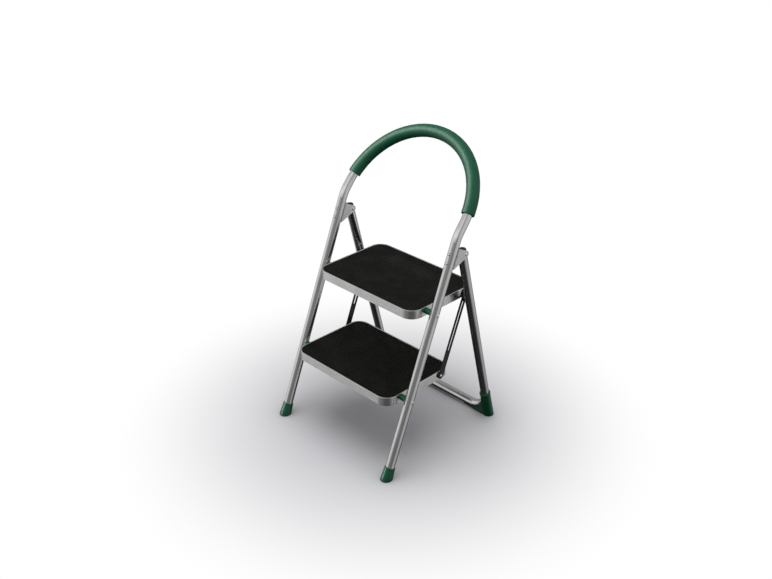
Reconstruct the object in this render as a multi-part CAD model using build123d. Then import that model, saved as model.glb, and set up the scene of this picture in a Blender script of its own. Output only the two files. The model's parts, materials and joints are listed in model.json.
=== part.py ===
from build123d import *
import os
from math import asin, cos, degrees, radians, sin, tan

# Two-step folding stool of bent steel tube with a hoop handle above the upper step.
# Millimetres, +Z up, +X to the right of someone facing the steps, +Y away from them.
# The stool is worked out with Y = 0 where the front leg axes meet the floor, and moved at the end so
# that the origin lies under the middle of its box. Pieces are made on the right and mirrored.

# Tube frames
tube_diameter = 25.0
tube_wall = 1.2
leg_spacing = 425.0
front_leg_tilt = 21.85
rear_leg_tilt = 14.73
hinge_behind_leg = 38.5
rear_leg_above_hinge = 9.0
crossbar_bend_radius = 65.0

# Handle hoop and its sleeve
handle_bend_above_bracket = 14.0
handle_bend_radius = 100.0
handle_tilt = 39.5
handle_straight = 31.0
grip_wall = 5.5
grip_start_angle = 8.0
grip_edge_rounding = 1.2

# Steps
upper_pivot_along_leg = 471.3
step_pitch_along_leg = 243.8
tray_depth = 251.0
tray_flange_height = 25.4
tray_corner_radius = 36.0
tray_sheet = 1.2
tray_rim_width = 3.0
tray_rim_rounding = 1.3
tray_front_overhang = 55.5
mat_recess = 5.0
mat_below_rim = 3.0
mat_edge_rounding = 0.5

# Side gap between tray and front leg, filled by the spacer at each pivot
side_gap = 15.2
spacer_diameter = 17.0

# Side links and their slot
link_rivet_to_corner = 4.2
link_width = 19.0
link_thickness = 2.0
link_standoff = 2.7
slot_width = 5.0
stud_below_link_pivot = 21.5
slot_spare_top = 3.0
slot_spare_bottom = 26.0
guide_stud_diameter = 9.0

# Hinge brackets
bracket_sheet = 1.8
bracket_bend_radius = 2.0
bracket_saddle_depth = 7.5
bracket_bottom_below_hinge = 44.0
bracket_top_above_hinge = 12.0
bracket_nose_radius = 9.5
bracket_upper_rivet_below_hinge = 8.0
bracket_lower_rivet_above_edge = 11.5

# Fasteners
pivot_bolt_diameter = 6.0
pivot_head_diameter = 9.0
pivot_head_height = 1.5
pivot_nut_flats = 10.0
pivot_nut_height = 5.0
pivot_bolt_end = 1.5
link_rivet_diameter = 5.0
link_rivet_head_diameter = 8.5
link_rivet_shoulder_diameter = 11.0
hinge_rivet_diameter = 6.0
hinge_rivet_head_diameter = 9.0
bracket_rivet_diameter = 5.0
bracket_rivet_head_diameter = 8.0
rivet_head_height = 2.0

# Boots and plugs
boot_sole = 4.0
front_boot_height = 36.0
front_boot_top_wall = 2.0
front_boot_sole_wall = 4.5
rear_boot_height = 90.0
rear_boot_top_wall = 2.5
rear_boot_sole_wall = 3.5
rear_boot_collar_height = 5.0
rear_boot_collar_wall = 1.0
rear_boot_sole_under_bar = 3.0
rear_boot_tongue_reach = 92.0
rear_boot_tongue_width = 30.0
rear_boot_toe_width = 14.0
boot_edge_rounding = 2.5
boot_rim_rounding = 0.8
plug_insert = 4.0
plug_dome_height = 4.5

# Clearances
running_fit = 0.08
loose_fit = 0.15
seat_gap = 0.2
side_play = 0.3
hinge_play = 0.5

# Distances from the middle plane
tube_radius = tube_diameter / 2
leg_x = leg_spacing / 2
leg_inner = leg_x - tube_radius
leg_outer = leg_x + tube_radius
tray_side = leg_inner - side_gap
tray_width = 2 * tray_side
tray_inside = tray_side - tray_sheet
link_inner = tray_side + link_standoff
link_outer = link_inner + link_thickness
cheek_inside = tube_radius + hinge_play
cheek_outside = cheek_inside + bracket_sheet

# Directions in the side view: along the front leg, square to it, along the rear leg and the handle
leg_angle = radians(front_leg_tilt)
rear_angle = radians(rear_leg_tilt)
handle_angle = radians(handle_tilt)
up_leg = Vector(0, sin(leg_angle), cos(leg_angle))
off_leg = Vector(0, cos(leg_angle), -sin(leg_angle))
up_rear = Vector(0, -sin(rear_angle), cos(rear_angle))
off_rear = Vector(0, cos(rear_angle), sin(rear_angle))
up_handle = Vector(0, sin(handle_angle), cos(handle_angle))
right = Vector(1, 0, 0)


def on_leg(along, behind=0.0):
    """Point of the side view at a distance along the front leg from the floor, and behind its axis."""
    return up_leg * along + off_leg * behind


# The link pivots sit where the trays' straight sides end, just before the rear corners
link_rivet_inset = tray_corner_radius + link_rivet_to_corner + link_rivet_shoulder_diameter / 2
link_reach = tray_depth - tray_front_overhang - link_rivet_inset

# Pivots of the steps and links in the side view
upper_pivot = on_leg(upper_pivot_along_leg)
lower_pivot = on_leg(upper_pivot_along_leg - step_pitch_along_leg)
upper_link_pivot = upper_pivot + Vector(0, link_reach, 0)
lower_link_pivot = lower_pivot + Vector(0, link_reach, 0)

# The rear leg's axis crosses the link's middle line at the guide stud and meets the bracket at the hinge
leg_to_rear_angle = leg_angle + rear_angle
guide_stud = upper_link_pivot - up_leg * stud_below_link_pivot
stud_behind_hinge = guide_stud.dot(off_leg) - hinge_behind_leg
stud_below_hinge = stud_behind_hinge / sin(leg_to_rear_angle)
hinge_along_leg = guide_stud.dot(up_leg) + stud_behind_hinge / tan(leg_to_rear_angle)
hinge = on_leg(hinge_along_leg, hinge_behind_leg)

# Rear leg from the hinge to the crossbar, whose boots hold it clear of the floor
crossbar_height = tube_radius + rear_boot_sole_under_bar
rear_leg_length = (hinge.Z - crossbar_height) / cos(rear_angle)
rear_corner = hinge - up_rear * rear_leg_length
rear_floor_point = hinge - up_rear * (hinge.Z / cos(rear_angle))

# Bracket along the front leg, its rivets, and the handle's bend just above it
bracket_bottom = hinge_along_leg - bracket_bottom_below_hinge
bracket_top = hinge_along_leg + bracket_top_above_hinge
bracket_rivets_along_leg = (
    hinge_along_leg - bracket_upper_rivet_below_hinge,
    bracket_bottom + bracket_lower_rivet_above_edge,
)
handle_bend_tangent = handle_bend_radius * tan((handle_angle - leg_angle) / 2)
handle_bend_along_leg = bracket_top + handle_bend_above_bracket + handle_bend_tangent

# Fold: the steps turn until the rear legs lie along the front legs
open_angle = radians(90) - leg_angle
folded_angle = asin(hinge_behind_leg / link_reach)
step_fold = open_angle - folded_angle
link_rise = link_reach * (cos(folded_angle) - cos(open_angle))
stud_fall = stud_below_hinge * (1 - cos(leg_to_rear_angle))
stud_travel = link_rise + stud_fall

# Trays hang on their pivots at the middle of the flange
tray_pivot_depth = tray_flange_height / 2
mat_thickness = mat_recess - mat_below_rim


def mirrored(shape):
    """The same piece on the left side."""
    return mirror(shape, about=Plane.YZ)


def cross_bar(centre, x_from, x_to, radius):
    """Round bar along X through a point of the side view, between two distances from the middle plane."""
    middle = Pos((x_from + x_to) / 2, centre.Y, centre.Z)
    return middle * Rot(0, 90, 0) * Cylinder(radius, x_to - x_from)


def dome(diameter, height):
    """Domed head with its flat side on the plane Z = 0."""
    radius = diameter / 2
    sphere_radius = (radius**2 + height**2) / (2 * height)
    ball = Pos(0, 0, height - sphere_radius) * Sphere(sphere_radius)
    return ball & (Pos(0, 0, height / 2) * Cylinder(radius, height))


def bent_tube(path, radius, wall):
    """Round tube of one wall thickness along a path."""
    start = Plane(origin=path @ 0, z_dir=path % 0)
    return sweep(start * (Circle(radius) - Circle(radius - wall)), path=path)


def bent_bar(path, radius):
    """Solid round bar along a path, for cutting the seat of a tube."""
    start = Plane(origin=path @ 0, z_dir=path % 0)
    return sweep(start * Circle(radius), path=path)


def leg_bar(radius, along_from, along_to):
    """Round bar round the right front leg's axis."""
    base = Plane(origin=right * leg_x + on_leg(along_from), z_dir=up_leg)
    return base * Cylinder(radius, along_to - along_from, align=(Align.CENTER, Align.CENTER, Align.MIN))


def below_floor():
    """Block that cuts soles flat on the floor."""
    size = 4 * leg_spacing
    return Pos(0, 0, -size / 2) * Box(size, size, size)


# Front frame: foot, leg, bend, hoop and the same down the other side
front_tube_start = (boot_sole + tube_radius * sin(leg_angle)) / cos(leg_angle)
handle_vertex = on_leg(handle_bend_along_leg)
hoop_centre = handle_vertex + up_handle * handle_straight
hoop_plane = Plane(origin=hoop_centre, x_dir=right, z_dir=right.cross(up_handle))


def front_side(side):
    """Leg and handle bend on one side, from the foot up to the start of the hoop."""
    across = right * (side * leg_x)
    foot = across + on_leg(front_tube_start)
    return FilletPolyline(foot, across + handle_vertex, across + hoop_centre, radius=handle_bend_radius)


def front_frame_tube():
    """One bent tube, drilled for the step pivots and the bracket rivets."""
    hoop = hoop_plane * CenterArc((0, 0), leg_x, 0, 180)
    path = Wire([*front_side(1).edges(), hoop, *front_side(-1).edges()])
    tube = bent_tube(path, tube_radius, tube_wall)
    for pivot in (upper_pivot, lower_pivot):
        hole_radius = pivot_bolt_diameter / 2 + loose_fit
        drill = cross_bar(pivot, leg_inner - side_play, leg_outer + side_play, hole_radius)
        tube = tube - drill - mirrored(drill)
    for along in bracket_rivets_along_leg:
        rivet_plane = Plane(origin=right * leg_x + on_leg(along), z_dir=off_leg)
        drill = rivet_plane * Cylinder(bracket_rivet_diameter / 2 + loose_fit, tube_diameter + 2 * side_play)
        tube = tube - drill - mirrored(drill)
    return tube


def handle_grip():
    """Sleeve round the hoop, stopping short of its two ends."""
    arc = hoop_plane * CenterArc((0, 0), leg_x, grip_start_angle, 180 - 2 * grip_start_angle)
    sleeve = bent_bar(Wire([arc]), tube_radius + grip_wall)
    end_circles = sleeve.edges().filter_by(GeomType.CIRCLE).group_by(SortBy.RADIUS)[0]
    sleeve = fillet(end_circles, grip_edge_rounding)
    bore_arc = hoop_plane * CenterArc((0, 0), leg_x, 0, 180)
    return sleeve - bent_bar(Wire([bore_arc]), tube_radius + loose_fit)


def front_foot():
    """Conical boot on the right front leg, cut flat where it stands."""
    drop = tube_diameter + front_boot_sole_wall
    flare = (front_boot_sole_wall - front_boot_top_wall) / front_boot_height
    low_radius = tube_radius + front_boot_sole_wall + flare * drop
    top_radius = tube_radius + front_boot_top_wall
    base = Plane(origin=right * leg_x + on_leg(-drop), z_dir=up_leg)
    align_low = (Align.CENTER, Align.CENTER, Align.MIN)
    boot = base * Cone(low_radius, top_radius, front_boot_height + drop, align=align_low)
    boot = boot - below_floor()
    sole_edges = boot.edges().group_by(Axis.Z)[0]
    boot = fillet(sole_edges, min(boot_edge_rounding, boot_sole / 2))
    boot = fillet(boot.faces().filter_by(GeomType.PLANE).sort_by(Axis.Z)[-1].edges(), boot_rim_rounding)
    return boot - leg_bar(tube_radius + loose_fit, front_tube_start, front_boot_height + drop)


# Hinge bracket, drawn in the side view with X behind the front leg and Y along it
bracket_web_front = tube_radius + loose_fit
bracket_web_back = bracket_web_front + bracket_sheet
bracket_front = bracket_web_front - bracket_saddle_depth
side_view = Plane(origin=right * leg_x, x_dir=off_leg, z_dir=right)


def hinge_bracket():
    """Folded channel: a web hollowed round the back of the front leg, and two cheeks that take the rear leg."""
    front_line = Line((bracket_front, bracket_bottom), (bracket_front, bracket_top))
    nose = CenterArc((hinge_behind_leg, hinge_along_leg), bracket_nose_radius, 0, 360)
    outline = make_hull([*front_line.edges(), *nose.edges()])
    channel = side_view * extrude(outline, cheek_outside, both=True)
    slot_depth = hinge_behind_leg + bracket_nose_radius
    slot_middle = (bracket_web_back + slot_depth) / 2 + side_play
    slot = Rectangle(slot_depth - bracket_web_back + 2 * side_play, 2 * (bracket_top - bracket_bottom))
    slot = Pos(slot_middle, (bracket_top + bracket_bottom) / 2) * slot
    channel = channel - side_view * extrude(slot, cheek_inside, both=True)
    section_depth = 2 * slot_depth
    section = RectangleRounded(2 * cheek_outside, section_depth, bracket_bend_radius)
    section = Pos(0, bracket_front + section_depth / 2) * section
    leg_view = Plane(origin=right * leg_x + on_leg(bracket_bottom), x_dir=right, z_dir=up_leg)
    channel = channel & leg_view * extrude(section, bracket_top, both=True)
    channel = channel - leg_bar(bracket_web_front, bracket_bottom - side_play, bracket_top + side_play)
    reach = leg_x + cheek_outside + side_play
    channel = channel - cross_bar(hinge, 0, reach, hinge_rivet_diameter / 2 + loose_fit)
    for along in bracket_rivets_along_leg:
        rivet_plane = Plane(origin=right * leg_x + on_leg(along), z_dir=off_leg)
        drill = Cylinder(bracket_rivet_diameter / 2 + loose_fit, 2 * (bracket_web_back + side_play))
        channel = channel - rivet_plane * drill
    return channel


def bracket_rivet(along):
    """Rivet through the front leg and the bracket's web, with its round head on the front of the leg."""
    front = tube_radius + rivet_head_height
    back = bracket_web_back
    plane = Plane(origin=right * leg_x + on_leg(along), z_dir=off_leg)
    shank = Pos(0, 0, (back - tube_radius) / 2) * Cylinder(bracket_rivet_diameter / 2, back + tube_radius)
    front_head = Pos(0, 0, -tube_radius) * Rot(180, 0, 0) * dome(bracket_rivet_head_diameter, rivet_head_height)
    skirt = Pos(0, 0, -tube_radius / 2) * Cylinder(bracket_rivet_head_diameter / 2, tube_radius)
    seat = leg_bar(tube_radius + loose_fit, along - front, along + front)
    head = plane * (front_head + skirt) - seat
    back_head = Pos(0, 0, back) * dome(bracket_rivet_head_diameter, rivet_head_height)
    return head + plane * (shank + back_head)


def hinge_rivet():
    """Rivet through the bracket's cheeks and the rear leg, with a domed head on each cheek."""
    inner = leg_x - cheek_outside
    outer = leg_x + cheek_outside
    rivet = cross_bar(hinge, inner, outer, hinge_rivet_diameter / 2)
    head = dome(hinge_rivet_head_diameter, rivet_head_height)
    rivet += Pos(outer, hinge.Y, hinge.Z) * Rot(0, 90, 0) * head
    rivet += Pos(inner, hinge.Y, hinge.Z) * Rot(0, -90, 0) * head
    return rivet


# Rear frame: a U from one hinge down to the crossbar and up to the other hinge
rear_top = hinge + up_rear * rear_leg_above_hinge


def rear_path():
    """Middle line of the rear frame's tube."""
    corners = [right * leg_x + rear_top, right * leg_x + rear_corner]
    corners += [right * -leg_x + rear_corner, right * -leg_x + rear_top]
    return FilletPolyline(*corners, radius=crossbar_bend_radius)


def rear_frame_tube():
    """One bent tube, drilled for the hinge rivets and, on the inner sides, for the guide studs."""
    path = Wire([*rear_path().edges()])
    tube = bent_tube(path, tube_radius, tube_wall)
    hinge_hole_radius = hinge_rivet_diameter / 2 + running_fit
    hinge_drill = cross_bar(hinge, leg_inner - side_play, leg_outer + side_play, hinge_hole_radius)
    stud_drill = cross_bar(guide_stud, leg_inner - side_play, leg_x, guide_stud_diameter / 2 + loose_fit)
    for drill in (hinge_drill, stud_drill):
        tube = tube - drill - mirrored(drill)
    return tube


def rear_foot():
    """Corner boot: a sleeve round the leg, the filled corner under the bend and a tongue under the crossbar."""
    drop = tube_diameter + rear_boot_sole_wall
    flare = (rear_boot_sole_wall - rear_boot_top_wall) / rear_boot_height
    low_radius = tube_radius + rear_boot_sole_wall + flare * drop
    top_radius = tube_radius + rear_boot_top_wall
    align_low = (Align.CENTER, Align.CENTER, Align.MIN)
    align_high = (Align.CENTER, Align.CENTER, Align.MAX)
    base = Plane(origin=right * leg_x + rear_floor_point - up_rear * drop, z_dir=up_rear)
    sleeve = base * Cone(low_radius, top_radius, rear_boot_height + drop, align=align_low)
    rim = Plane(origin=right * leg_x + rear_floor_point + up_rear * rear_boot_height, z_dir=up_rear)
    collar = Cylinder(top_radius + rear_boot_collar_wall, rear_boot_collar_height, align=align_high)
    boot = sleeve + rim * fillet(collar.edges().filter_by(GeomType.CIRCLE), boot_rim_rounding)

    bend = crossbar_bend_radius
    toe = -rear_boot_tongue_reach
    low = -2 * crossbar_height
    bend_middle = (-bend * (1 - sin(radians(45))), bend * (1 - cos(radians(45))))
    outline = Polyline((-bend, 0), (toe, 0), (toe, low), (0, low), (0, bend))
    outline += ThreePointArc((0, bend), bend_middle, (-bend, 0))
    corner_plane = Plane(origin=right * leg_x + rear_corner, x_dir=right, z_dir=-off_rear)
    filler = corner_plane * extrude(make_face(outline.edges()), rear_boot_tongue_width / 2, both=True)
    heel_circle = Pos(leg_x, rear_corner.Y) * Circle(rear_boot_tongue_width / 2)
    toe_circle = Pos(leg_x + toe + rear_boot_toe_width / 2, rear_corner.Y) * Circle(rear_boot_toe_width / 2)
    plan = make_hull([*heel_circle.edges(), *toe_circle.edges()])
    filler = filler & extrude(plan, rear_boot_height, both=True)

    boot = boot + filler - below_floor()
    boot = fillet(boot.edges().group_by(Axis.Z)[0], min(boot_edge_rounding, rear_boot_sole_under_bar / 2))
    return boot - bent_bar(Wire([*rear_path().edges()]), tube_radius + loose_fit)


def rear_leg_plug():
    """Plug in the rear leg's upper end, with a domed cap as wide as the tube."""
    rim = Plane(origin=right * leg_x + rear_top, z_dir=up_rear)
    insert_radius = tube_radius - tube_wall - loose_fit
    insert = Cylinder(insert_radius, plug_insert, align=(Align.CENTER, Align.CENTER, Align.MAX))
    return rim * (insert + dome(tube_diameter, plug_dome_height))


def guide_stud_pin():
    """Stud through the rear leg's inner wall, ending just short of the link's outer face."""
    return cross_bar(guide_stud, link_outer + side_play, leg_x - tube_radius / 2, guide_stud_diameter / 2)


def step_place(pivot):
    """Middle of a tray's top face, from its pivot."""
    return Pos(0, pivot.Y - tray_front_overhang + tray_depth / 2, pivot.Z + tray_pivot_depth)


def rounded_plate(inset, height):
    """Plate of the tray's outline, drawn in by an inset, hanging down from the plane Z = 0."""
    width = tray_width - 2 * inset
    depth = tray_depth - 2 * inset
    return extrude(RectangleRounded(width, depth, tray_corner_radius - inset), -height)


def step_tray(pivot, link_pivot):
    """Pressed tray: turned-down flange, a raised rim rounded on both sides, and a recess that holds the mat."""
    tray = rounded_plate(0, tray_flange_height)
    tray = tray - Pos(0, 0, -mat_recess - tray_sheet) * rounded_plate(tray_sheet, tray_flange_height)
    tray = tray - rounded_plate(tray_rim_width, mat_recess)
    tray = fillet(tray.faces().sort_by(Axis.Z)[-1].edges(), tray_rim_rounding)
    tray = step_place(pivot) * tray
    holes = ((pivot, pivot_bolt_diameter / 2 + running_fit), (link_pivot, link_rivet_diameter / 2 + loose_fit))
    for centre, hole_radius in holes:
        drill = cross_bar(centre, tray_inside - side_play, tray_side + side_play, hole_radius)
        tray = tray - drill - mirrored(drill)
    return tray


def step_mat(pivot):
    """Rubber mat lying in the tray's recess."""
    mat = rounded_plate(tray_rim_width + side_play, mat_thickness)
    mat = fillet(mat.faces().sort_by(Axis.Z)[-1].edges(), mat_edge_rounding)
    return step_place(pivot) * Pos(0, 0, -mat_below_rim) * mat


def step_spacer(pivot):
    """Round spacer between the tray's side and the front leg, hollowed to sit on the tube."""
    spacer = cross_bar(pivot, tray_side + side_play, leg_x, spacer_diameter / 2)
    spacer = spacer - cross_bar(pivot, tray_side, leg_x, pivot_bolt_diameter / 2 + loose_fit)
    along = pivot.dot(up_leg)
    return spacer - leg_bar(tube_radius + seat_gap, along - spacer_diameter, along + spacer_diameter)


# The pivot bolt passes the nut by a few turns of thread
nut_outer = tray_inside - side_play
nut_inner = nut_outer - pivot_nut_height


def pivot_bolt(pivot):
    """Bolt through the front leg and the tray's side, with a domed head hollowed to sit on the tube."""
    along = pivot.dot(up_leg)
    bolt = cross_bar(pivot, nut_inner - pivot_bolt_end, leg_outer, pivot_bolt_diameter / 2)
    head = cross_bar(pivot, leg_x, leg_outer, pivot_head_diameter / 2)
    head += Pos(leg_outer, pivot.Y, pivot.Z) * Rot(0, 90, 0) * dome(pivot_head_diameter, pivot_head_height)
    seat = leg_bar(tube_radius + loose_fit, along - pivot_head_diameter, along + pivot_head_diameter)
    return bolt + (head - seat)


def pivot_nut(pivot):
    """Hexagon nut on the bolt, inside the tray's flange."""
    hexagon = RegularPolygon(pivot_nut_flats / 2, 6, major_radius=False)
    hexagon -= Circle(pivot_bolt_diameter / 2 + loose_fit)
    return Pos(nut_inner, pivot.Y, pivot.Z) * Rot(0, 90, 0) * extrude(hexagon, pivot_nut_height)


def side_link():
    """Flat bar between the steps' link pivots, with the slot that the guide stud follows."""
    length = step_pitch_along_leg
    plane = Plane(origin=right * link_inner + upper_link_pivot, x_dir=-up_leg, z_dir=right)
    bar = Pos(length / 2, 0) * SlotCenterToCenter(length, link_width)
    for place in (0, length):
        bar -= Pos(place, 0) * Circle(link_rivet_diameter / 2 + running_fit)
    slot_start = stud_below_link_pivot - slot_spare_top
    slot_end = stud_below_link_pivot + stud_travel + slot_spare_bottom
    bar -= Pos((slot_start + slot_end) / 2, 0) * SlotOverall(slot_end - slot_start, slot_width)
    return plane * extrude(bar, link_thickness)


def link_rivet(link_pivot):
    """Rivet fixed in the tray's side, with a shoulder that holds the link off and a head outside it."""
    inner = tray_inside
    outer = link_outer + side_play
    rivet = cross_bar(link_pivot, inner, outer, link_rivet_diameter / 2)
    rivet += cross_bar(link_pivot, tray_side, link_inner - side_play, link_rivet_shoulder_diameter / 2)
    head = dome(link_rivet_head_diameter, rivet_head_height)
    rivet += Pos(outer, link_pivot.Y, link_pivot.Z) * Rot(0, 90, 0) * head
    rivet += Pos(inner, link_pivot.Y, link_pivot.Z) * Rot(0, -90, 0) * head
    return rivet


# Single pieces
nodes = {
    "front_frame_tube": front_frame_tube(),
    "handle_grip": handle_grip(),
    "rear_frame_tube": rear_frame_tube(),
    "upper_step_tray": step_tray(upper_pivot, upper_link_pivot),
    "upper_step_mat": step_mat(upper_pivot),
    "lower_step_tray": step_tray(lower_pivot, lower_link_pivot),
    "lower_step_mat": step_mat(lower_pivot),
}

# Pieces with a left and a right
pairs = {
    "front_foot": front_foot(),
    "hinge_bracket": hinge_bracket(),
    "hinge_rivet": hinge_rivet(),
    "rear_foot": rear_foot(),
    "rear_leg_plug": rear_leg_plug(),
    "guide_stud": guide_stud_pin(),
    "upper_spacer": step_spacer(upper_pivot),
    "lower_spacer": step_spacer(lower_pivot),
    "upper_pivot_bolt": pivot_bolt(upper_pivot),
    "lower_pivot_bolt": pivot_bolt(lower_pivot),
    "side_link": side_link(),
    "upper_link_rivet": link_rivet(upper_link_pivot),
    "lower_link_rivet": link_rivet(lower_link_pivot),
}
for name, piece in pairs.items():
    nodes[name + "_right"] = piece
    nodes[name + "_left"] = mirrored(piece)

# Like fasteners that stay together on the front frame
nut_solids = []
for pivot in (upper_pivot, lower_pivot):
    nut = pivot_nut(pivot)
    nut_solids += [nut.solid(), mirrored(nut).solid()]
nodes["pivot_nuts"] = Compound(nut_solids)
rivet_solids = []
for along in bracket_rivets_along_leg:
    rivet = bracket_rivet(along)
    rivet_solids += [rivet.solid(), mirrored(rivet).solid()]
nodes["bracket_rivets"] = Compound(rivet_solids)

# The origin goes under the middle of the stool's box
box = Compound([solid for piece in nodes.values() for solid in piece.solids()]).bounding_box()
centre_shift = Vector(0, -(box.min.Y + box.max.Y) / 2, 0)
os.makedirs("parts", exist_ok=True)
for name, piece in nodes.items():
    export_step(Pos(centre_shift) * piece, f"parts/{name}.step")

print(f"box {box.size.X:.1f} x {box.size.Y:.1f} x {box.size.Z:.1f}, moved in Y by {centre_shift.Y:.4f}")
for name, point in (("upper_pivot", upper_pivot), ("lower_pivot", lower_pivot), ("hinge", hinge),
                    ("upper_link_pivot", upper_link_pivot), ("lower_link_pivot", lower_link_pivot),
                    ("guide_stud", guide_stud)):
    place = point + centre_shift
    print(f"{name} y {place.Y:.4f} z {place.Z:.4f}")
print(f"step fold {degrees(step_fold):.4f} rear fold {degrees(leg_to_rear_angle):.4f}")
print(f"stud travel {stud_travel:.1f}")
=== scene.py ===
import json
from math import cos, pi, radians, sin

import bpy
import numpy as np
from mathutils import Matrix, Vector


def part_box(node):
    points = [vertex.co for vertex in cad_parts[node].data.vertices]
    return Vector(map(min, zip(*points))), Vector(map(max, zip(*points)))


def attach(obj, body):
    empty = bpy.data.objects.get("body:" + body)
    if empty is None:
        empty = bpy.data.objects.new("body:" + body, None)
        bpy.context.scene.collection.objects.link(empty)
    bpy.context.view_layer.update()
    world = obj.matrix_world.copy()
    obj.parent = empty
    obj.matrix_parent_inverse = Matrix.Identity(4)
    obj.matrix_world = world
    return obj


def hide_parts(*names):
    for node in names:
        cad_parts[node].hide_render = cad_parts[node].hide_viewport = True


# The finishes, ribbed mats and sleeve of a folding step stool, the studio floor and light, and the camera.
# Metres, +Z up, the front of the stool towards -Y; the origin lies on the floor under the stool's middle.
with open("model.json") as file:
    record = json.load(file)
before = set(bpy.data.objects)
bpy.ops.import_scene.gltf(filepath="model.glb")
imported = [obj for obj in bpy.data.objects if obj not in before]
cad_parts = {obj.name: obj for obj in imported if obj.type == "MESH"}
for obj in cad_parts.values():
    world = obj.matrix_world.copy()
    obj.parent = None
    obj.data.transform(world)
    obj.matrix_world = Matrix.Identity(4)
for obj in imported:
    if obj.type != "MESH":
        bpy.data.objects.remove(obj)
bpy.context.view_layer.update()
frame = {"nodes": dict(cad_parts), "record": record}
MM = 0.001

# Camera: where it looks, and from which side, in the photograph's frame of 772 x 579
PHOTO_WIDTH = 772
CAMERA_TARGET = Vector((-0.0001, -0.0031, 0.4178))
CAMERA_DISTANCE = 2.5616
CAMERA_AZIMUTH = radians(45.159)
CAMERA_ELEVATION = radians(27.824)
CAMERA_FOCAL_PIXELS = 928.42
SENSOR_WIDTH = 36.0

# Ribbed mats
MAT_CORNER_RADIUS = 32.7 * MM
MAT_RIB_PITCH = 8.45 * MM
MAT_RIB_DEPTH = 1.2 * MM
MAT_EDGE_ROUNDING = 0.6 * MM
MAT_BORDER_WIDTH = 4.0 * MM
MAT_BORDER_FADE = 2.0 * MM
MAT_PLAIN_TONE = 0.066
RIB_ROWS = np.array([-1.0, -0.93, -0.84, -0.72, -0.52, -0.2, 0.2, 0.52, 0.72, 0.84, 0.93])
EDGE_ROWS = np.array([0, 0.15, 0.4, 0.7, 1.0])
EDGE_COLUMNS = np.array([0, 0.09, 0.24, 0.42, 0.6, 2.0, 4.0, 4.7, 5.3, 6.0, 9.0]) * MM
PANEL_COLUMNS = np.array([-0.5, -0.2, 0.2, 0.5])
CORNER_STEPS = 28
FIELD_COLUMNS = 16
PANEL_SIZE = (185 * MM, 47 * MM)
PANEL_CENTRE_FROM_REAR = 52 * MM
PANEL_CORNER_RADIUS = 6 * MM
PANEL_FADE = 1.6 * MM

# Sleeve on the hoop
HOOP_RADIUS = 212.5 * MM
HOOP_TILT = radians(39.5)
SLEEVE_RADIUS = 18.0 * MM
SLEEVE_BORE = 12.65 * MM
SLEEVE_START = radians(8)
SLEEVE_EDGE_ROUNDING = 1.2 * MM
SLEEVE_UNEVENNESS = 0.12 * MM
SLEEVE_EDGE_STEPS = 7
SLEEVE_SKIN_STEPS = 190
SLEEVE_BORE_STEPS = 60
SLEEVE_RING_STEPS = 56

# Studio
FLOOR_RINGS = (0.3, 0.8, 1.6, 3.0, 9.0)
FLOOR_STEPS = 96
FLOOR_TONE = (0.868, 0.870, 0.912, 1)
FLOOR_FADE = (0.14, 0.81)
FLOOR_MIRRORED = (0.20, 0.34)
FLOOR_MIRROR_TONE = 0.06
FLOOR_GRAZING = (0.4, 0.7)
FLOOR_BOUNCE = 0.15
CONTACT_REACH = 0.12
CONTACT_SHADE = (0.45, 1.0, 0.45, 1.0)
OVERHEAD_PLACE = (-0.18, -0.04, 3.0)
OVERHEAD_SIZE = 2.9
OVERHEAD_POWER = 43.0
KEY_PLACE = (-0.15, -2.0, 2.0)
KEY_SIZE = 1.4
KEY_POWER = 32.0
FILL_PLACE = (1.3, 2.0, 1.5)
FILL_SIZE = 1.2
FILL_POWER = 10.0
SLEEVE_LIGHT_PLACE = (-1.3, -1.09, 1.88)
SLEEVE_LIGHT_SIZE = 1.7
SLEEVE_LIGHT_POWER = 62.0
BOOT_LIGHT_PLACE = (-1.45, -1.75, 0.2)
BOOT_LIGHT_SIZE = 0.9
BOOT_LIGHT_POWER = 20.0
LEFT_WALL = (-0.79, -0.61, -0.05)
LEFT_WALL_LIGHT = 0.55
LEFT_WALL_EDGE = (0.704, 0.86)
LEFT_WALL_FOOT = (-1.0, -0.03)
RIGHT_WALL = (0.9, 0.41, 0.14)
RIGHT_WALL_LIGHT = 0.5
RIGHT_WALL_EDGE = (0.5, 0.995)
KEY_PANEL = (0.0, -0.95, 0.32)
KEY_PANEL_LIGHT = 0.6
KEY_PANEL_EDGE = (0.684, 0.9)
KEY_PANEL_FOOT = (0.23, 0.4)
WALL_BACK = 0.37
WALL_FRONT = (0.05, 0.6, 0.235, 0.42)
WALL_SEAM = (-0.07, 0.13)
FRONT = (1, -1, 0)
LOW_FRONT = (0.6, -0.6, -0.53)
LOW_FRONT_SHADE = (0.80, 0.98, 1.0, 0.5)
LOW_BACK = (-0.4, 0.6, -0.69)
LOW_BACK_SHADE = (0.5, 0.8, 1.0, 0.79)
GROUND_SHADE = (-0.70, -0.61, 0.15, 1.0)
MATT_SHARE = 0.5


# Meshes


def ease(value, start, end):
    """0 before start, 1 after end, and 3t^2 - 2t^3 between them."""
    t = np.clip((value - start) / (end - start), 0, 1)
    return t * t * (3 - 2 * t)


def inset_of(x, y, half_width, half_depth, radius):
    """Distance in from the edge of a rounded rectangle.

    With q = (|x| - half width + radius, |y| - half depth + radius), it is the radius, less the length of
    the part of q above zero, less the larger of the two where both are below zero.
    """
    qx = np.abs(x) - half_width + radius
    qy = np.abs(y) - half_depth + radius
    return radius - np.hypot(np.maximum(qx, 0), np.maximum(qy, 0)) - np.minimum(np.maximum(qx, qy), 0)


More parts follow.
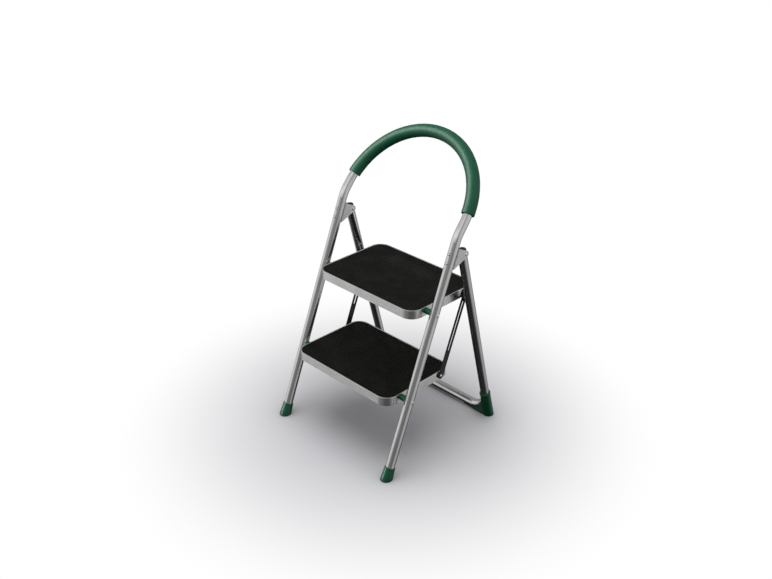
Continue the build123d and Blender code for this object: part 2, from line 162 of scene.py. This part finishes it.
def grid_faces(rows, columns, wrap_rows):
    """Four-sided faces of a grid whose columns close into rings, and whose rows close too if asked."""
    index = np.arange(rows * columns).reshape(rows, columns)
    beside = np.roll(index, -1, axis=1)
    above = np.roll(index, -1, axis=0)
    corner = np.roll(beside, -1, axis=0)
    quads = np.stack([index, beside, corner, above], axis=-1)
    if not wrap_rows:
        quads = quads[:-1]
    return quads.reshape(-1, 4).tolist()


def new_piece(name, points, faces, finish, body, replaced):
    """Mesh object at the origin that rides on a body and stands for CAD nodes."""
    mesh = bpy.data.meshes.new(name)
    mesh.from_pydata(points.reshape(-1, 3), [], faces)
    mesh.shade_smooth()
    mesh.materials.append(finish)
    piece = bpy.data.objects.new(name, mesh)
    bpy.context.scene.collection.objects.link(piece)
    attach(piece, body)
    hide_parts(*replaced)
    return piece


def mat_rows(half_depth):
    """Places of the mat's rows: closer in the grooves, and more of them round the corners and edges."""
    last_rib = np.ceil(half_depth / MAT_RIB_PITCH)
    ribs = np.arange(-last_rib, last_rib + 1)
    rib_rows = (ribs[:, None] * MAT_RIB_PITCH + RIB_ROWS * MAT_RIB_PITCH / 2).ravel()
    turn = np.radians(np.linspace(0, 90, CORNER_STEPS))
    corner_rows = half_depth - MAT_CORNER_RADIUS * (1 - np.sin(turn))
    edge_rows = half_depth - MAT_EDGE_ROUNDING * EDGE_ROWS
    inside = rib_rows[np.abs(rib_rows) < half_depth - MAT_EDGE_ROUNDING]
    rows = np.sort(np.concatenate([inside, corner_rows, -corner_rows, edge_rows, -edge_rows]))
    apart = np.concatenate([[True], np.diff(rows) > 0.05 * MM])
    return rows[apart]


def mat_columns(half_width):
    """Places of the mat's columns, as shares of its half width: close at the edge, border and panel."""
    field = np.linspace(0, half_width - EDGE_COLUMNS[-1], FIELD_COLUMNS)[:-1]
    panel_edge = PANEL_SIZE[0] / 2 + PANEL_FADE * PANEL_COLUMNS
    right = np.unique(np.concatenate([half_width - EDGE_COLUMNS, field, panel_edge]))
    return np.concatenate([-right[:0:-1], right]) / half_width


def ribbed_mat(name, node, body, finish, has_panel):
    """Rubber mat over a grid of rows across the step.

    In a rounded rectangle, x = share * half width at that row. Height = crest - depth * s^4 * fade, where
    s runs from -1 to 1 across each rib, and fade is 0 on the border and, on a mat that has one, on a plain
    panel. The edge is rounded by a quarter circle. Each row closes under the mat, and the end rows are
    faces. The attribute ridge is 1 on the crests and 0 in the grooves.
    """
    low, high = (np.array(corner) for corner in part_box(node))
    centre = (low + high) / 2
    half_width, half_depth = (high - low)[:2] / 2
    y = mat_rows(half_depth)
    share = mat_columns(half_width)
    past_straight = np.maximum(np.abs(y) - half_depth + MAT_CORNER_RADIUS, 0)
    corner_reach = np.sqrt(np.maximum(MAT_CORNER_RADIUS**2 - past_straight**2, 0))
    row_half = half_width - MAT_CORNER_RADIUS + corner_reach
    x = share[None, :] * row_half[:, None]
    y = np.broadcast_to(y[:, None], x.shape)

    inset = inset_of(x, y, half_width, half_depth, MAT_CORNER_RADIUS)
    fade = ease(inset, MAT_BORDER_WIDTH, MAT_BORDER_WIDTH + MAT_BORDER_FADE)
    if has_panel:
        panel_y = y - (half_depth - PANEL_CENTRE_FROM_REAR)
        into_panel = inset_of(x, panel_y, PANEL_SIZE[0] / 2, PANEL_SIZE[1] / 2, PANEL_CORNER_RADIUS)
        fade = fade * (1 - ease(into_panel, -PANEL_FADE / 2, PANEL_FADE / 2))
    across = 2 * (y / MAT_RIB_PITCH - np.round(y / MAT_RIB_PITCH))
    groove = across**4 * fade
    short = np.clip(MAT_EDGE_ROUNDING - inset, 0, MAT_EDGE_ROUNDING)
    rounding = MAT_EDGE_ROUNDING - np.sqrt(MAT_EDGE_ROUNDING**2 - short**2)
    z = high[2] - MAT_RIB_DEPTH * groove - rounding

    top = np.stack([x + centre[0], y + centre[1], z], axis=-1)
    under = np.full_like(top[:, :1, 2], low[2])
    left_foot = np.stack([top[:, :1, 0], top[:, :1, 1], under], axis=-1)
    right_foot = np.stack([top[:, -1:, 0], top[:, -1:, 1], under], axis=-1)
    points = np.concatenate([left_foot, top, right_foot], axis=1)
    rows, columns = points.shape[:2]
    faces = grid_faces(rows, columns, wrap_rows=False)
    faces.append(list(range(columns - 1, -1, -1)))
    faces.append(list(range((rows - 1) * columns, rows * columns)))
    piece = new_piece(name, points, faces, finish, body, [node])

    ridge = np.pad(1 - groove - MAT_PLAIN_TONE * (1 - fade), ((0, 0), (1, 1)), mode="edge")
    ridge_map = piece.data.attributes.new("ridge", "FLOAT", "POINT")
    ridge_map.data.foreach_set("value", ridge.ravel())
    return piece


def hoop_sleeve(finish):
    """Soft sleeve: a ring of radius rho carried round the hoop, where rho follows a lengthwise profile.

    Point = centre + (hoop radius + rho cos b) * (cos a * X + sin a * U) + rho sin b * N, where U runs up the
    hoop's plane and N stands on it. The profile rises from the bore round the end's edge to the skin, which
    has a slight unevenness of two sine waves, and comes back along the bore.
    """
    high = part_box("handle_grip")[1]
    up = np.array([0, sin(HOOP_TILT), cos(HOOP_TILT)])
    out = np.array([0, -cos(HOOP_TILT), sin(HOOP_TILT)])
    side = np.array([1.0, 0, 0])
    centre = np.array([0, high.y, high.z]) - HOOP_RADIUS * up - SLEEVE_RADIUS * np.array([0, 1, 1])

    length = HOOP_RADIUS * (pi - 2 * SLEEVE_START)
    turn = np.radians(np.linspace(0, 90, SLEEVE_EDGE_STEPS))
    end_travel = SLEEVE_EDGE_ROUNDING * (1 - np.sin(turn))[::-1]
    end_radius = SLEEVE_RADIUS - SLEEVE_EDGE_ROUNDING * (1 - np.cos(turn))[::-1]
    skin_travel = np.linspace(SLEEVE_EDGE_ROUNDING, length - SLEEVE_EDGE_ROUNDING, SLEEVE_SKIN_STEPS)[1:-1]
    skin_radius = np.full(skin_travel.size, SLEEVE_RADIUS)
    bore_travel = np.linspace(length, 0, SLEEVE_BORE_STEPS)
    bore_radius = np.full(bore_travel.size, SLEEVE_BORE)
    far_end_travel = (length - end_travel)[::-1]
    travel = np.concatenate([[0], end_travel, skin_travel, far_end_travel, bore_travel[:-1]])
    rho = np.concatenate([[SLEEVE_BORE], end_radius, skin_radius, end_radius[::-1], bore_radius[:-1]])

    a = (SLEEVE_START + travel / HOOP_RADIUS)[:, None]
    b = np.radians(np.linspace(0, 360, SLEEVE_RING_STEPS + 1)[:-1])[None, :]
    wave = np.sin(23 * a + 2 * np.sin(b)) * np.sin(41 * a + b)
    on_skin = (rho > SLEEVE_RADIUS - SLEEVE_EDGE_ROUNDING / 2)[:, None]
    rho = rho[:, None] + SLEEVE_UNEVENNESS * wave * on_skin
    reach = (HOOP_RADIUS + rho * np.cos(b))[..., None]
    points = centre + reach * (np.cos(a)[..., None] * side + np.sin(a)[..., None] * up)
    points = points + (rho * np.sin(b))[..., None] * out
    faces = grid_faces(*points.shape[:2], wrap_rows=True)
    return new_piece("hoop_sleeve", points, faces, finish, "front_frame", ["handle_grip"])


# Node helpers


def add(tree, kind, **settings):
    """New shader node of a kind, with its properties set."""
    node = tree.nodes.new("ShaderNode" + kind)
    for key, value in settings.items():
        setattr(node, key, value)
    return node


def feed(tree, socket, source):
    """Links a socket from another one, or sets its value."""
    if isinstance(source, bpy.types.NodeSocket):
        tree.links.new(source, socket)
    else:
        socket.default_value = source


def math(tree, operation, first, second=0.0):
    """Math node of one operation."""
    node = add(tree, "Math", operation=operation)
    feed(tree, node.inputs[0], first)
    feed(tree, node.inputs[1], second)
    return node.outputs[0]


def spread(tree, value, start, end, low=0.0, high=1.0, smooth=True):
    """Maps a value from one range to another."""
    node = add(tree, "MapRange", interpolation_type="SMOOTHSTEP" if smooth else "LINEAR")
    for socket, source in zip(node.inputs, (value, start, end, low, high)):
        feed(tree, socket, source)
    return node.outputs["Result"]


# Places of the colour sockets on a Mix node
MIX_FIRST = 6
MIX_SECOND = 7
MIX_COLOUR = 2


def mixed(tree, share, first, second, blend="MIX"):
    """Mix of two colours, or their product where blend asks for it."""
    node = add(tree, "Mix", data_type="RGBA", blend_type=blend)
    feed(tree, node.inputs["Factor"], share)
    feed(tree, node.inputs[MIX_FIRST], first)
    feed(tree, node.inputs[MIX_SECOND], second)
    return node.outputs[MIX_COLOUR]


def noise(tree, vector, scale, detail=3.0, roughness=0.5):
    """Value of a noise texture."""
    node = add(tree, "TexNoise")
    feed(tree, node.inputs["Vector"], vector)
    feed(tree, node.inputs["Scale"], scale)
    feed(tree, node.inputs["Detail"], detail)
    feed(tree, node.inputs["Roughness"], roughness)
    return node.outputs["Fac"]


def stretched(tree, vector, scale):
    """Coordinates scaled by their own amount along each axis."""
    node = add(tree, "VectorMath", operation="MULTIPLY")
    feed(tree, node.inputs[0], vector)
    feed(tree, node.inputs[1], scale)
    return node.outputs[0]


SOCKETS = {float: "NodeSocketFloat", tuple: "NodeSocketColor", None: "NodeSocketVector"}


def new_group(name, inputs, outputs):
    """Empty node group with named sockets; an input's default tells its kind, None for a vector."""
    tree = bpy.data.node_groups.new(name, "ShaderNodeTree")
    for label, default in inputs.items():
        kind = SOCKETS[type(default)] if default is not None else SOCKETS[None]
        socket = tree.interface.new_socket(label, in_out="INPUT", socket_type=kind)
        if default is not None:
            socket.default_value = default
    for label, kind in outputs.items():
        tree.interface.new_socket(label, in_out="OUTPUT", socket_type=SOCKETS[kind])
    entry = tree.nodes.new("NodeGroupInput").outputs
    leave = tree.nodes.new("NodeGroupOutput").inputs
    return tree, entry, leave


def place(tree, group, **values):
    """Puts a node group into a material with its own values, and returns its outputs."""
    node = tree.nodes.new("ShaderNodeGroup")
    node.node_tree = group
    for label, source in values.items():
        feed(tree, node.inputs[label.replace("_", " ")], source)
    return node.outputs


# Effects that the finishes share


def two_tone_group():
    """Slow clouding of two colours."""
    inputs = {"Vector": None, "Scale": 20.0, "First": (1, 1, 1, 1), "Second": (0, 0, 0, 1)}
    tree, entry, leave = new_group("two_tone", inputs, {"Color": tuple})
    share = spread(tree, noise(tree, entry["Vector"], entry["Scale"], detail=4.0), 0.3, 0.7)
    feed(tree, leave["Color"], mixed(tree, share, entry["First"], entry["Second"]))
    return tree


def skin_group():
    """Fine pebbled skin: a height from two sizes of noise, and a value between two limits for the gloss."""
    inputs = {"Vector": None, "Scale": 900.0, "Low": 0.3, "High": 0.4}
    tree, entry, leave = new_group("skin", inputs, {"Height": float, "Value": float})
    fine = noise(tree, entry["Vector"], entry["Scale"], detail=2.0)
    broad = noise(tree, entry["Vector"], math(tree, "MULTIPLY", entry["Scale"], 0.12), detail=3.0)
    feed(tree, leave["Height"], math(tree, "ADD", fine, broad))
    feed(tree, leave["Value"], spread(tree, broad, 0.3, 0.7, entry["Low"], entry["High"]))
    return tree


def scratch_group():
    """Hairline scratches: thin edges of large cells, broken up by noise."""
    inputs = {"Vector": None, "Scale": 30.0, "Width": 0.01, "Amount": 0.5}
    tree, entry, leave = new_group("scratches", inputs, {"Mask": float})
    cells = add(tree, "TexVoronoi", feature="DISTANCE_TO_EDGE")
    feed(tree, cells.inputs["Vector"], entry["Vector"])
    feed(tree, cells.inputs["Scale"], entry["Scale"])
    line = spread(tree, cells.outputs["Distance"], 0.0, entry["Width"], 1.0, 0.0)
    finer = math(tree, "MULTIPLY", entry["Scale"], 2.3)
    broken = spread(tree, noise(tree, entry["Vector"], finer), 0.5, 0.65)
    feed(tree, leave["Mask"], math(tree, "MULTIPLY", math(tree, "MULTIPLY", line, broken), entry["Amount"]))
    return tree


def floor_dust_group():
    """Mask that is thickest at the floor and gone at a given height, broken up by noise: dust on the tubes,
    painted shade at the foot of the green mouldings.
    """
    inputs = {"Vector": None, "Reach": 0.03, "Amount": 0.5}
    tree, entry, leave = new_group("floor_dust", inputs, {"Mask": float})
    parts = add(tree, "SeparateXYZ")
    feed(tree, parts.inputs[0], entry["Vector"])
    near = spread(tree, parts.outputs["Z"], 0.0, entry["Reach"], 1.0, 0.0)
    patch = spread(tree, noise(tree, entry["Vector"], 220.0, detail=5.0), 0.3, 0.75)
    feed(tree, leave["Mask"], math(tree, "MULTIPLY", math(tree, "MULTIPLY", near, patch), entry["Amount"]))
    return tree


TWO_TONE = two_tone_group()
SKIN = skin_group()
SCRATCHES = scratch_group()
DUST_AND_FOOT_SHADE = floor_dust_group()


# Finishes


def new_finish(name, **constants):
    """Material with a Principled shader whose constant inputs are set on the shader itself."""
    material = bpy.data.materials.new(name)
    material.use_nodes = True
    tree = material.node_tree
    tree.nodes.clear()
    shader = add(tree, "BsdfPrincipled")
    output = add(tree, "OutputMaterial")
    tree.links.new(shader.outputs[0], output.inputs["Surface"])
    for label, value in constants.items():
        shader.inputs[label.replace("_", " ")].default_value = value
    where = add(tree, "TexCoord").outputs["Object"]
    return material, tree, shader.inputs, where


def bump(tree, sockets, height, distance):
    """Sends a height through a Bump node to the shader's normal."""
    node = add(tree, "Bump")
    feed(tree, node.inputs["Height"], height)
    feed(tree, node.inputs["Distance"], distance)
    tree.links.new(node.outputs["Normal"], sockets["Normal"])


def silver_tube():
    """Satin silver lacquer on tube: slow clouding, orange peel, hairline scratches, dust at the feet."""
    material, tree, sockets, where = new_finish("silver_tube", Metallic=1.0)
    first, second = (0.60, 0.60, 0.60, 1), (0.65, 0.65, 0.645, 1)
    tone = place(tree, TWO_TONE, Vector=where, Scale=14.0, First=first, Second=second)
    skin = place(tree, SKIN, Vector=where, Scale=1400.0, Low=0.17, High=0.22)
    scratch = place(tree, SCRATCHES, Vector=where, Scale=26.0, Width=0.012, Amount=0.25)
    dust = place(tree, DUST_AND_FOOT_SHADE, Vector=where, Reach=0.06, Amount=0.25)
    worn = mixed(tree, scratch["Mask"], tone["Color"], (0.42, 0.42, 0.42, 1))
    feed(tree, sockets["Base Color"], mixed(tree, dust["Mask"], worn, (0.36, 0.35, 0.33, 1)))
    rough = math(tree, "ADD", skin["Value"], math(tree, "MULTIPLY", dust["Mask"], 0.25))
    feed(tree, sockets["Roughness"], rough)
    bump(tree, sockets, skin["Height"], 0.000004)
    return material


def tray_steel():
    """Silver lacquer on pressed sheet: fine lines along the flange, clouding and scuffs."""
    material, tree, sockets, where = new_finish("tray_steel", Metallic=1.0)
    first, second = (0.65, 0.65, 0.645, 1), (0.73, 0.73, 0.725, 1)
    tone = place(tree, TWO_TONE, Vector=where, Scale=24.0, First=first, Second=second)
    lines = noise(tree, stretched(tree, where, (30.0, 30.0, 1800.0)), 1.0, detail=4.0)
    skin = place(tree, SKIN, Vector=where, Scale=1100.0, Low=0.20, High=0.30)
    scratch = place(tree, SCRATCHES, Vector=where, Scale=38.0, Width=0.014, Amount=0.6)
    streak = mixed(tree, spread(tree, lines, 0.35, 0.65), (0.86, 0.86, 0.86, 1), (1, 1, 1, 1))
    shade = mixed(tree, 1.0, tone["Color"], streak, blend="MULTIPLY")
    feed(tree, sockets["Base Color"], mixed(tree, scratch["Mask"], shade, (0.36, 0.36, 0.36, 1)))
    scuffed = math(tree, "MULTIPLY", scratch["Mask"], 0.2)
    feed(tree, sockets["Roughness"], math(tree, "ADD", skin["Value"], scuffed))
    bump(tree, sockets, math(tree, "ADD", skin["Height"], lines), 0.00001)
    return material


def bracket_steel():
    """Matt zinc plate on folded sheet: crystalline speckle and rubbed patches."""
    material, tree, sockets, where = new_finish("bracket_steel", Metallic=1.0)
    first, second = (0.64, 0.645, 0.65, 1), (0.76, 0.76, 0.76, 1)
    tone = place(tree, TWO_TONE, Vector=where, Scale=160.0, First=first, Second=second)
    skin = place(tree, SKIN, Vector=where, Scale=1700.0, Low=0.42, High=0.55)
    scratch = place(tree, SCRATCHES, Vector=where, Scale=70.0, Width=0.02, Amount=0.6)
    feed(tree, sockets["Base Color"], mixed(tree, scratch["Mask"], tone["Color"], (0.76, 0.76, 0.76, 1)))
    feed(tree, sockets["Roughness"], skin["Value"])
    bump(tree, sockets, skin["Height"], 0.00004)
    return material


def zinc_fastener():
    """Bright zinc on bolts, nuts and rivets, with turned marks and dull patches."""
    material, tree, sockets, where = new_finish("zinc_fastener", Metallic=1.0)
    first, second = (0.72, 0.72, 0.71, 1), (0.84, 0.84, 0.83, 1)
    tone = place(tree, TWO_TONE, Vector=where, Scale=240.0, First=first, Second=second)
    skin = place(tree, SKIN, Vector=where, Scale=2600.0, Low=0.18, High=0.32)
    feed(tree, sockets["Base Color"], tone["Color"])
    feed(tree, sockets["Roughness"], skin["Value"])
    bump(tree, sockets, skin["Height"], 0.00002)
    return material


def green_moulding(name, first, second, gloss, grain, relief, foot_shade_reach=0.01):
    """Moulded green: two close greens, a fine skin, and a painted shade at the floor: a near-black band at
    the foot in place of contact shadow, also made duller.
    """
    material, tree, sockets, where = new_finish(name, Specular_IOR_Level=0.35)
    tone = place(tree, TWO_TONE, Vector=where, Scale=30.0, First=first, Second=second)
    skin = place(tree, SKIN, Vector=where, Scale=grain, Low=gloss, High=gloss + 0.06)
    # Painted shade: the colour darkens to near-black towards the floor, standing in for the contact shadow at
    # the boots' feet.
    foot_shade = place(tree, DUST_AND_FOOT_SHADE, Vector=where, Reach=foot_shade_reach, Amount=1.0)
    feed(tree, sockets["Base Color"], mixed(tree, foot_shade["Mask"], tone["Color"], (0.006, 0.012, 0.009, 1)))
    dulled = math(tree, "MULTIPLY", foot_shade["Mask"], 0.4)
    feed(tree, sockets["Roughness"], math(tree, "ADD", skin["Value"], dulled))
    bump(tree, sockets, skin["Height"], relief)
    return material


def mat_rubber():
    """Black rubber: rib crests rubbed smoother and a little greyer, fine dust in the grooves."""
    material, tree, sockets, where = new_finish("mat_rubber", Specular_IOR_Level=0.1)
    ridge = add(tree, "Attribute", attribute_name="ridge").outputs["Fac"]
    patch = spread(tree, noise(tree, where, 18.0, detail=5.0), 0.35, 0.7)
    crest = spread(tree, ridge, 0.85, 1.0)
    rubbed = math(tree, "MULTIPLY", crest, math(tree, "ADD", math(tree, "MULTIPLY", patch, 0.6), 0.4))
    in_groove = spread(tree, ridge, 0.0, 0.6, 1.0, 0.0)
    dust = math(tree, "MULTIPLY", in_groove, math(tree, "MULTIPLY", patch, 0.12))
    black = mixed(tree, rubbed, (0.0018, 0.0018, 0.0015, 1), (0.0110, 0.0110, 0.0094, 1))
    feed(tree, sockets["Base Color"], mixed(tree, dust, black, (0.05, 0.048, 0.044, 1)))
    skin = place(tree, SKIN, Vector=where, Scale=1600.0, Low=0.48, High=0.62)
    smoother = math(tree, "MULTIPLY", rubbed, 0.08)
    feed(tree, sockets["Roughness"], math(tree, "SUBTRACT", skin["Value"], smoother))
    bump(tree, sockets, skin["Height"], 0.00006)
    return material


def black_lacquer():
    """Black lacquer on the slotted links, with grey rubbed lines."""
    material, tree, sockets, where = new_finish("black_lacquer", Specular_IOR_Level=0.3)
    first, second = (0.004, 0.004, 0.004, 1), (0.008, 0.008, 0.008, 1)
    tone = place(tree, TWO_TONE, Vector=where, Scale=60.0, First=first, Second=second)
    skin = place(tree, SKIN, Vector=where, Scale=1500.0, Low=0.28, High=0.42)
    scratch = place(tree, SCRATCHES, Vector=where, Scale=60.0, Width=0.018, Amount=0.5)
    feed(tree, sockets["Base Color"], mixed(tree, scratch["Mask"], tone["Color"], (0.12, 0.12, 0.12, 1)))
    feed(tree, sockets["Roughness"], skin["Value"])
    bump(tree, sockets, skin["Height"], 0.00003)
    return material


def black_plastic():
    """Matt black plastic of the leg plugs and guide studs."""
    material, tree, sockets, where = new_finish("black_plastic")
    first, second = (0.009, 0.009, 0.009, 1), (0.016, 0.016, 0.016, 1)
    tone = place(tree, TWO_TONE, Vector=where, Scale=90.0, First=first, Second=second)
    skin = place(tree, SKIN, Vector=where, Scale=1500.0, Low=0.42, High=0.55)
    feed(tree, sockets["Base Color"], tone["Color"])
    feed(tree, sockets["Roughness"], skin["Value"])
    bump(tree, sockets, skin["Height"], 0.00005)
    return material


finishes = {
    "frame_tube": silver_tube(),
    "tray_steel": tray_steel(),
    "bracket_steel": bracket_steel(),
    "zinc_fastener": zinc_fastener(),
    "grip_sleeve": green_moulding("sleeve_green", (0.002, 0.064, 0.029, 1), (0.003, 0.074, 0.034, 1),
                                  gloss=0.44, grain=900.0, relief=0.000003),
    "boot_rubber": green_moulding("boot_green", (0.002, 0.075, 0.033, 1), (0.004, 0.090, 0.040, 1),
                                  gloss=0.27, grain=1100.0, relief=0.000006, foot_shade_reach=0.022),
    "spacer_plastic": green_moulding("spacer_green", (0.002, 0.060, 0.028, 1), (0.004, 0.074, 0.035, 1),
                                     gloss=0.27, grain=1300.0, relief=0.000006),
    "step_mat": mat_rubber(),
    "black_link": black_lacquer(),
    "black_plastic": black_plastic(),
}
for part in frame["record"]["subparts"]:
    for surface in frame["nodes"][part["node"]].material_slots:
        surface.material = finishes[part["material_slot"]]

ribbed_mat("upper_ribbed_mat", "upper_step_mat", "upper_step", finishes["step_mat"], has_panel=True)
ribbed_mat("lower_ribbed_mat", "lower_step_mat", "lower_step", finishes["step_mat"], has_panel=False)
sleeve = hoop_sleeve(finishes["grip_sleeve"])


# Studio


def seen_directly(tree):
    """1 for rays that show the backdrop: from the camera, or through clear pieces."""
    path = add(tree, "LightPath").outputs
    return math(tree, "MAXIMUM", path["Is Camera Ray"], path["Is Transmission Ray"])


def shader_mix(tree, share, first, second):
    """Mix of two shaders."""
    node = add(tree, "MixShader")
    feed(tree, node.inputs[0], share)
    tree.links.new(first, node.inputs[1])
    tree.links.new(second, node.inputs[2])
    return node.outputs[0]


def pale_floor():
    """Round floor: a matt pale surface that keeps the shadow, turning to plain white further out.

    Metal shows only the part of it under the stool, seen from well above, and the studio beyond that.
    """
    turn = np.radians(np.linspace(0, 360, FLOOR_STEPS + 1)[:-1])
    radius = np.array(FLOOR_RINGS)[:, None]
    level = np.zeros((len(FLOOR_RINGS), FLOOR_STEPS))
    points = np.stack([radius * np.cos(turn), radius * np.sin(turn), level], axis=-1)
    faces = grid_faces(len(FLOOR_RINGS), FLOOR_STEPS, wrap_rows=False)
    faces = [face[::-1] for face in faces] + [list(range(FLOOR_STEPS))]
    mesh = bpy.data.meshes.new("pale_floor")
    mesh.from_pydata(points.reshape(-1, 3), [], faces)
    floor = bpy.data.objects.new("pale_floor", mesh)
    bpy.context.scene.collection.objects.link(floor)

    material = bpy.data.materials.new("floor_paper")
    material.use_nodes = True
    tree = material.node_tree
    tree.nodes.clear()
    where = add(tree, "TexCoord").outputs["Object"]
    far = add(tree, "VectorMath", operation="LENGTH")
    feed(tree, far.inputs[0], where)
    path = add(tree, "LightPath").outputs
    # Painted contact shadow: ambient occlusion darkens the floor's colour close to the stool's feet and
    # crossbar.
    nearby = add(tree, "AmbientOcclusion", samples=16)
    nearby.inputs["Distance"].default_value = CONTACT_REACH
    contact = spread(tree, nearby.outputs["AO"], *CONTACT_SHADE, smooth=False)
    shaded = mixed(tree, contact, (0, 0, 0, 1), FLOOR_TONE)
    matt = add(tree, "BsdfDiffuse")
    bounced = mixed(tree, path["Is Diffuse Ray"], shaded, (*[FLOOR_BOUNCE] * 3, 1))
    # Painted reflection: glossy rays see the floor near-black instead of its lit tone, so metal shows a dark
    # ground.
    mirrored = mixed(tree, path["Is Glossy Ray"], bounced, (*[FLOOR_MIRROR_TONE] * 3, 1))
    feed(tree, matt.inputs["Color"], mirrored)
    white = add(tree, "Emission")
    outside = math(tree, "MULTIPLY", spread(tree, far.outputs["Value"], *FLOOR_FADE), seen_directly(tree))
    paper = shader_mix(tree, outside, matt.outputs[0], white.outputs[0])
    slant = spread(tree, add(tree, "LayerWeight").outputs["Facing"], *FLOOR_GRAZING)
    unseen = math(tree, "MAXIMUM", spread(tree, far.outputs["Value"], *FLOOR_MIRRORED), slant)
    past_mirror = math(tree, "MULTIPLY", unseen, path["Is Glossy Ray"])
    paper = shader_mix(tree, past_mirror, paper, add(tree, "BsdfTransparent").outputs[0])
    output = add(tree, "OutputMaterial")
    tree.links.new(paper, output.inputs["Surface"])
    mesh.materials.append(material)
    return floor


def along(tree, where, direction):
    """Cosine of the angle between the looked-at direction and a given one."""
    node = add(tree, "VectorMath", operation="DOT_PRODUCT")
    feed(tree, node.inputs[0], where)
    node.inputs[1].default_value = Vector(direction).normalized()
    return node.outputs["Value"]


def studio_world():
    """Studio that metal shows: bright side walls, a lit panel in front, and dark towards the floor."""
    world = bpy.data.worlds.new("studio")
    bpy.context.scene.world = world
    world.use_nodes = True
    tree = world.node_tree
    tree.nodes.clear()
    where = add(tree, "TexCoord").outputs["Generated"]
    height = along(tree, where, (0, 0, 1))
    front = spread(tree, height, *WALL_FRONT)
    lit = spread(tree, along(tree, where, FRONT), *WALL_SEAM, WALL_BACK, front)
    left_light = spread(tree, height, *LEFT_WALL_FOOT, 0.0, LEFT_WALL_LIGHT)
    key_light = spread(tree, height, *KEY_PANEL_FOOT, 0.0, KEY_PANEL_LIGHT)
    panels = ((LEFT_WALL, LEFT_WALL_EDGE, left_light), (RIGHT_WALL, RIGHT_WALL_EDGE, RIGHT_WALL_LIGHT),
              (KEY_PANEL, KEY_PANEL_EDGE, key_light))
    for direction, edge, light in panels:
        lit = math(tree, "ADD", lit, spread(tree, along(tree, where, direction), *edge, 0.0, light))
    low_front = spread(tree, along(tree, where, LOW_FRONT), *LOW_FRONT_SHADE)
    low_back = spread(tree, along(tree, where, LOW_BACK), *LOW_BACK_SHADE)
    ground = spread(tree, height, *GROUND_SHADE)
    dark = math(tree, "MULTIPLY", low_front, math(tree, "MULTIPLY", low_back, ground))
    studio = math(tree, "MULTIPLY", lit, dark)
    path = add(tree, "LightPath").outputs
    share = spread(tree, path["Is Glossy Ray"], 0.0, 1.0, MATT_SHARE, 1.0)
    shown = mixed(tree, seen_directly(tree), math(tree, "MULTIPLY", studio, share), (1, 1, 1, 1))
    background = add(tree, "Background")
    feed(tree, background.inputs["Color"], shown)
    output = add(tree, "OutputWorld")
    tree.links.new(background.outputs[0], output.inputs["Surface"])


def softbox(name, spot, size, power, shining_on=(), unlit=()):
    """Round soft light that looks at the middle of the stool.

    It lights all matt surfaces but those left unlit, and its reflection is the studio's part. Where it shines
    on pieces, it is only their highlight.
    """
    lamp = bpy.data.lights.new(name, "AREA")
    lamp.shape = "DISK"
    lamp.size = size
    lamp.energy = power
    light = bpy.data.objects.new(name, lamp)
    light.location = spot
    light.rotation_euler = (Vector(spot) - CAMERA_TARGET).to_track_quat("Z", "Y").to_euler()
    light.visible_camera = False
    light.visible_glossy = bool(shining_on)
    light.visible_diffuse = not shining_on
    bpy.context.scene.collection.objects.link(light)
    if shining_on or unlit:
        chosen = bpy.data.collections.new(name + "_chosen")
        for piece in (*shining_on, *unlit):
            chosen.objects.link(piece)
        for entry in chosen.collection_objects[len(shining_on):]:
            entry.light_linking.link_state = "EXCLUDE"
        light.light_linking.receiver_collection = chosen


def photo_camera():
    """Camera on a sphere round its target, at the photograph's viewing angle."""
    data = bpy.data.cameras.new("photo_camera")
    data.sensor_fit = "HORIZONTAL"
    data.sensor_width = SENSOR_WIDTH
    data.lens = CAMERA_FOCAL_PIXELS / PHOTO_WIDTH * SENSOR_WIDTH
    camera = bpy.data.objects.new("photo_camera", data)
    level = cos(CAMERA_ELEVATION)
    towards = Vector((sin(CAMERA_AZIMUTH) * level, -cos(CAMERA_AZIMUTH) * level, sin(CAMERA_ELEVATION)))
    camera.location = CAMERA_TARGET + CAMERA_DISTANCE * towards
    camera.rotation_euler = towards.to_track_quat("Z", "Y").to_euler()
    bpy.context.scene.collection.objects.link(camera)
    bpy.context.scene.camera = camera


boots = [piece for name, piece in frame["nodes"].items() if "foot" in name or "spacer" in name]
floor = pale_floor()
studio_world()
softbox("overhead_light", OVERHEAD_PLACE, OVERHEAD_SIZE, OVERHEAD_POWER)
softbox("key_light", KEY_PLACE, KEY_SIZE, KEY_POWER, unlit=[floor])
softbox("fill_light", FILL_PLACE, FILL_SIZE, FILL_POWER, unlit=[floor])
softbox("sleeve_light", SLEEVE_LIGHT_PLACE, SLEEVE_LIGHT_SIZE, SLEEVE_LIGHT_POWER, shining_on=[sleeve])
softbox("boot_light", BOOT_LIGHT_PLACE, BOOT_LIGHT_SIZE, BOOT_LIGHT_POWER, shining_on=boots)
photo_camera()
bpy.context.scene.view_settings.view_transform = "Standard"
